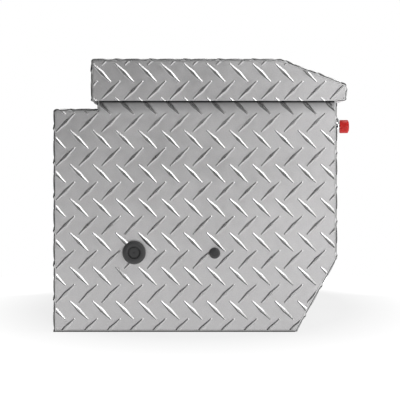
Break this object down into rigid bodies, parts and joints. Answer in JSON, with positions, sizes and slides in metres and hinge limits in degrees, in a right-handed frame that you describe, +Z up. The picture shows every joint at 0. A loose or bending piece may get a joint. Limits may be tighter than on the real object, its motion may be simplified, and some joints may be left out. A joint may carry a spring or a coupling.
{
  "type": "fresh water tank",
  "caption": "Fresh water tank in a folded tread-plate casing with a rear-hinged overhanging lid, front release buttons and screw plugs in one end panel.",
  "frame": {"origin": "centre of the flat underside, half-way along the casing's length and width", "axes": "+Z up; +X to the front, with the release buttons and the chamfer; +Y along the length, with the port end panel facing -Y"},
  "size_m": [0.5366, 0.942, 0.49],
  "materials": {
    "tread_plate": "bright rolled tread plate",
    "sheet_aluminium": "mill finish",
    "zinc_steel": "zinc plated",
    "chrome": "polished",
    "black_paint": "satin",
    "black_plastic": "satin moulded",
    "black_rubber": "matt",
    "red_plastic": "gloss",
    "tank_plastic": "natural moulded",
    "blue_plastic": "satin moulded"
  },
  "bodies": {
    "casing": {"front_skin": "tread_plate", "rear_skin": "tread_plate", "port_end_panel": "tread_plate", "plain_end_panel": "tread_plate", "rim_angle_left": "sheet_aluminium", "rim_angle_right": "sheet_aluminium", "deck_rail_front": "sheet_aluminium", "deck_rail_rear": "sheet_aluminium", "deck_plate": "sheet_aluminium", "hinge_leaf_body": "sheet_aluminium", "hinge_pin": "zinc_steel", "button_bushing_left": "zinc_steel", "button_bushing_right": "zinc_steel", "latch_housing_left": "zinc_steel", "latch_housing_right": "zinc_steel", "latch_spring_left": "zinc_steel", "latch_spring_right": "zinc_steel", "strut_foot_stud_left": "zinc_steel", "strut_foot_stud_right": "zinc_steel", "latch_plate_left": "chrome", "latch_plate_right": "chrome", "outlet_bulkhead": "black_plastic", "outlet_locknut": "black_plastic", "aux_bulkhead": "black_plastic", "aux_locknut": "black_plastic", "vent_cap": "black_plastic", "level_sender": "black_plastic", "rim_seal": "black_rubber", "outlet_gasket": "black_rubber", "aux_gasket": "black_rubber", "water_vessel": "tank_plastic"},
    "lid": {"lid_skin": "tread_plate", "lid_end_left": "tread_plate", "lid_end_right": "tread_plate", "lid_pan": "sheet_aluminium", "lid_stiffener_left": "sheet_aluminium", "lid_stiffener_right": "sheet_aluminium", "hinge_leaf_lid": "sheet_aluminium", "latch_striker_left": "zinc_steel", "latch_striker_right": "zinc_steel", "strut_lid_stud_left": "zinc_steel", "strut_lid_stud_right": "zinc_steel"},
    "button_left": {"release_button_left": "red_plastic", "button_stem_left": "chrome"},
    "button_right": {"release_button_right": "red_plastic", "button_stem_right": "chrome"},
    "hook_left": {"latch_hook_left": "zinc_steel"},
    "hook_right": {"latch_hook_right": "zinc_steel"},
    "strut_tube_left": {"strut_cylinder_left": "black_paint"},
    "strut_tube_right": {"strut_cylinder_right": "black_paint"},
    "strut_piston_left": {"strut_rod_left": "chrome"},
    "strut_piston_right": {"strut_rod_right": "chrome"},
    "filler_seal": {"filler_gasket": "black_rubber"},
    "filler_lid": {"filler_cap": "blue_plastic"},
    "outlet_seal": {"outlet_washer": "black_rubber"},
    "outlet_stopper": {"outlet_plug": "black_plastic"},
    "aux_seal": {"aux_washer": "black_rubber"},
    "aux_stopper": {"aux_plug": "black_plastic"},
    "float": {"float_arm": "zinc_steel", "level_float": "tank_plastic"}
  },
  "joints": [
    {"name": "lid_hinge", "type": "hinge", "parent": "casing", "child": "lid", "pos_m": [-0.1795, 0, 0.4135], "axis": [0, -1, 0], "range_deg": [0, 78]},
    {"name": "strut_swing_left", "type": "hinge", "parent": "casing", "child": "strut_tube_left", "pos_m": [-0.14, -0.418, 0.378], "axis": [0, -1, 0], "range_deg": [0, 79]},
    {"name": "strut_stroke_left", "type": "slide", "parent": "strut_tube_left", "child": "strut_piston_left", "axis": [0.9796, 0, 0.2011], "range_m": [0, 0.0673]},
    {"name": "strut_swing_right", "type": "hinge", "parent": "casing", "child": "strut_tube_right", "pos_m": [-0.14, 0.418, 0.378], "axis": [0, -1, 0], "range_deg": [0, 79]},
    {"name": "strut_stroke_right", "type": "slide", "parent": "strut_tube_right", "child": "strut_piston_right", "axis": [0.9796, 0, 0.2011], "range_m": [0, 0.0673]},
    {"name": "button_press_left", "type": "slide", "parent": "casing", "child": "button_left", "axis": [-1, 0, 0], "range_m": [0, 0.004], "stiffness_N_per_m": 600, "springref_m": -0.002},
    {"name": "hook_turn_left", "type": "hinge", "parent": "casing", "child": "hook_left", "pos_m": [0.212, -0.33, 0.352], "axis": [0, -1, 0], "range_deg": [0, 13]},
    {"name": "button_press_right", "type": "slide", "parent": "casing", "child": "button_right", "axis": [-1, 0, 0], "range_m": [0, 0.004], "stiffness_N_per_m": 600, "springref_m": -0.002},
    {"name": "hook_turn_right", "type": "hinge", "parent": "casing", "child": "hook_right", "pos_m": [0.212, 0.33, 0.352], "axis": [0, -1, 0], "range_deg": [0, 13]},
    {"name": "filler_cap_travel", "type": "slide", "parent": "casing", "child": "filler_seal", "axis": [0, 0, 1], "range_m": [0, 0.0092]},
    {"name": "filler_cap_turn", "type": "hinge", "parent": "filler_seal", "child": "filler_lid", "pos_m": [0.04, -0.18, 0.345], "axis": [0, 0, 1], "range_deg": [0, 540]},
    {"name": "outlet_plug_travel", "type": "slide", "parent": "casing", "child": "outlet_seal", "axis": [0, -1, 0], "range_m": [0, 0.0112]},
    {"name": "outlet_plug_turn", "type": "hinge", "parent": "outlet_seal", "child": "outlet_stopper", "pos_m": [-0.11, -0.457, 0.143], "axis": [0, -1, 0], "range_deg": [0, 1800]},
    {"name": "aux_plug_travel", "type": "slide", "parent": "casing", "child": "aux_seal", "axis": [0, -1, 0], "range_m": [0, 0.0072]},
    {"name": "aux_plug_turn", "type": "hinge", "parent": "aux_seal", "child": "aux_stopper", "pos_m": [0.035, -0.457, 0.142], "axis": [0, -1, 0], "range_deg": [0, 1800]},
    {"name": "float_swing", "type": "hinge", "parent": "casing", "child": "float", "pos_m": [0.069, 0.2, 0.165], "axis": [-1, 0, 0], "range_deg": [0, 96]}
  ],
  "couplings": [
    {"joint": "strut_swing_left", "follows": "lid_hinge", "ratio": 0.99163},
    {"joint": "strut_stroke_left", "follows": "lid_hinge", "m_per_rad": 0.049065},
    {"joint": "strut_swing_right", "follows": "lid_hinge", "ratio": 0.99163},
    {"joint": "strut_stroke_right", "follows": "lid_hinge", "m_per_rad": 0.049065},
    {"joint": "hook_turn_left", "follows": "button_press_left", "rad_per_m": 53.763},
    {"joint": "hook_turn_right", "follows": "button_press_right", "rad_per_m": 53.763},
    {"joint": "filler_cap_travel", "follows": "filler_cap_turn", "m_per_rad": 0.00095493},
    {"joint": "outlet_plug_travel", "follows": "outlet_plug_turn", "m_per_rad": 0.00035014},
    {"joint": "aux_plug_travel", "follows": "aux_plug_turn", "m_per_rad": 0.00022282}
  ]
}
